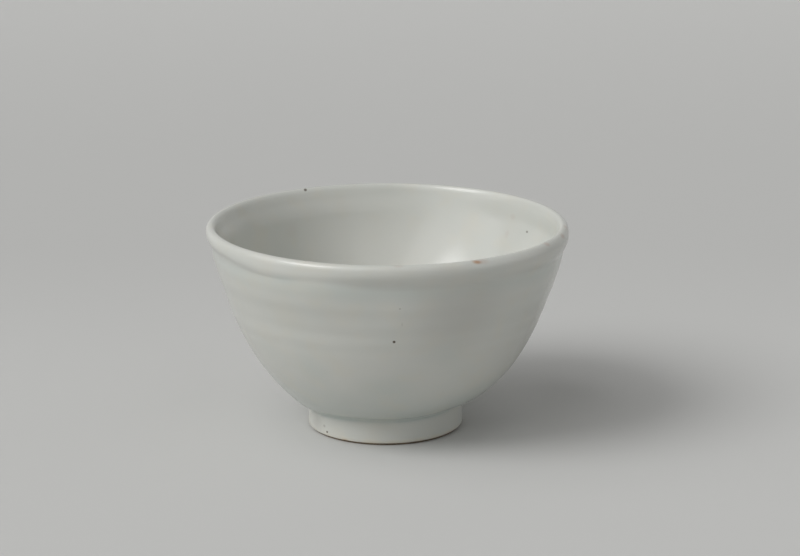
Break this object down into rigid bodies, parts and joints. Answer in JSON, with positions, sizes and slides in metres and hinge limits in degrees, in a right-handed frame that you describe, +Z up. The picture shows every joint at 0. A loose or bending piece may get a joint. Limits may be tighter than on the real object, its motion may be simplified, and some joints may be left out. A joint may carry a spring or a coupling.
{
  "type": "bowl",
  "caption": "Small round footed pottery bowl with a rolled lip over a slight neck, a deep curved well and a pale glaze inside and out.",
  "frame": {"origin": "centre of the foot ring's standing edge, on the surface that the bowl stands on", "axes": "+Z up along the axis that the bowl was thrown on, +X towards the side where the top of the foot is highest"},
  "size_m": [0.12, 0.12, 0.0694],
  "materials": {
    "stoneware": "bare fired clay, matte",
    "pale_glaze": "pale grey-white glaze, soft gloss"
  },
  "bodies": {
    "root": {"clay_bowl": "stoneware", "foot_ring": "stoneware", "outside_glaze": "pale_glaze", "inside_glaze": "pale_glaze", "recess_glaze": "pale_glaze"}
  },
  "joints": []
}
